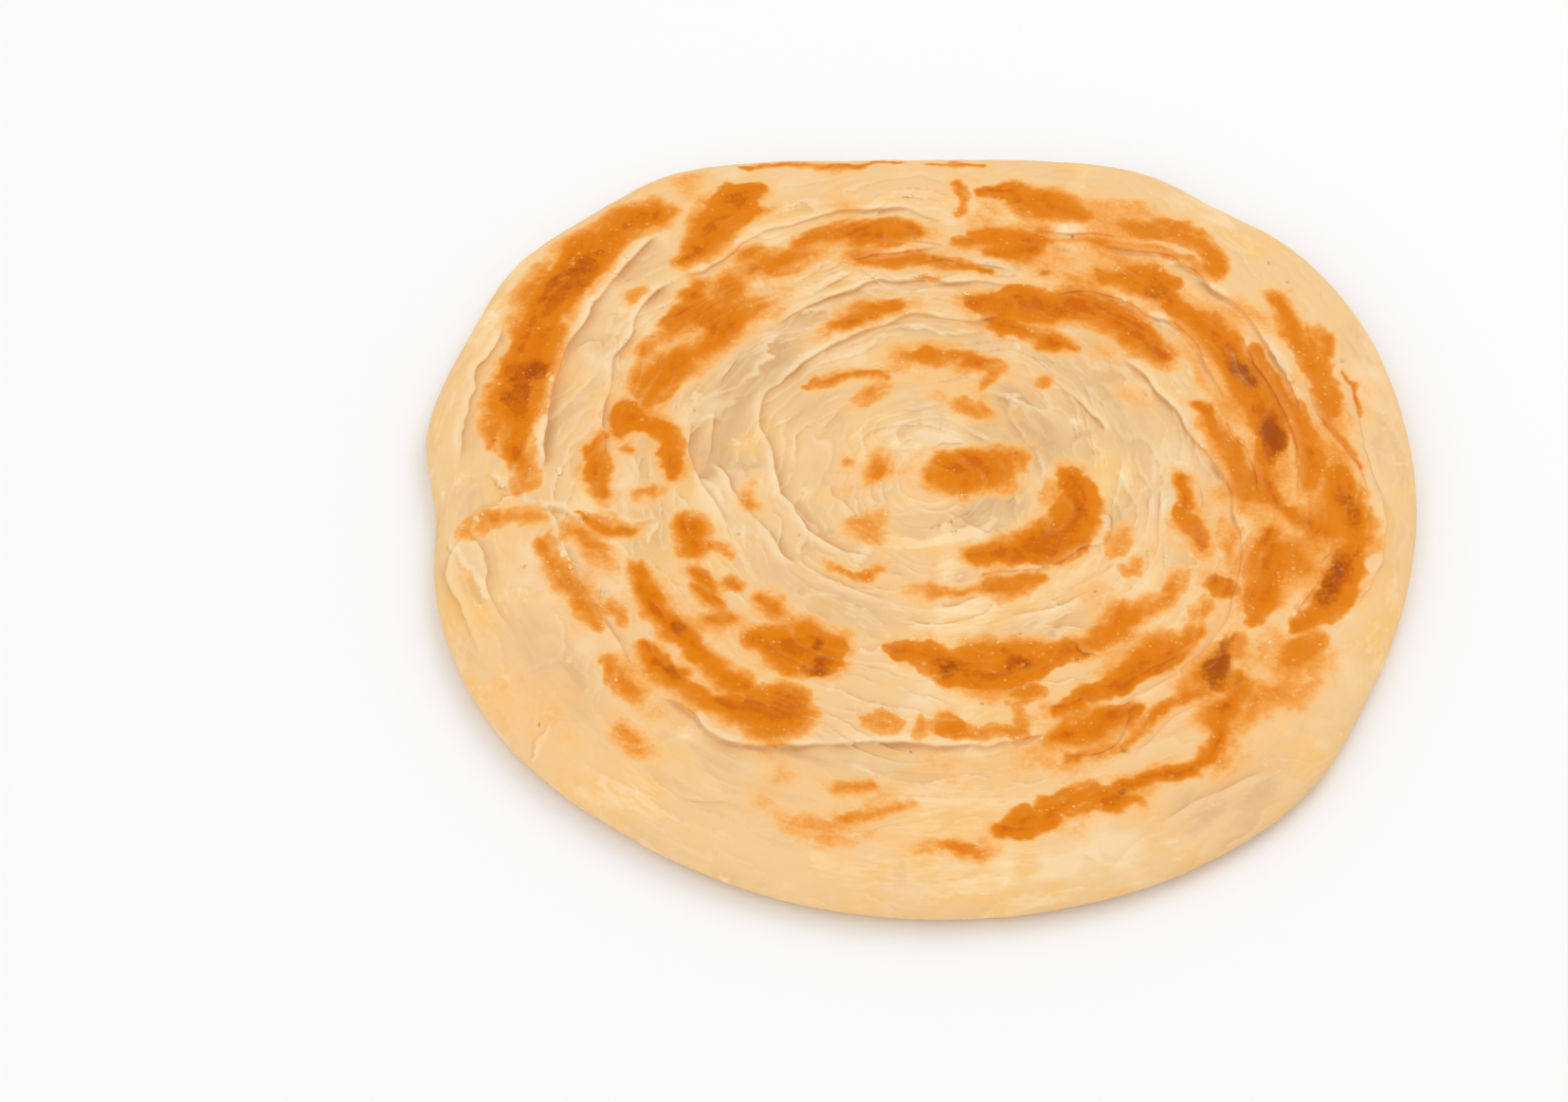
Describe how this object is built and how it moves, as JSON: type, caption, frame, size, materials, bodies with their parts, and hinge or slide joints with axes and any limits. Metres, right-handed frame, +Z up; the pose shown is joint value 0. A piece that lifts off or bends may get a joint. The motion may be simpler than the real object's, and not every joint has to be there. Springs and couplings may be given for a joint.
{
  "type": "layered flatbread",
  "caption": "Round coiled flatbread of thin griddled dough layers, with a puffy outer roll and browned patches, lying flat.",
  "frame": {"origin": "bottom centre of the bounding box, on the surface that the bread lies on", "axes": "+Z up through the bread's thickness; +X to the right and +Y away from someone who faces the bread's wide smooth front roll"},
  "size_m": [0.1996, 0.1946, 0.0083],
  "materials": {
    "griddled_dough": "cream wheat dough with orange-brown griddled patches, slightly oily"
  },
  "bodies": {
    "root": {"paratha": "griddled_dough"}
  },
  "joints": []
}
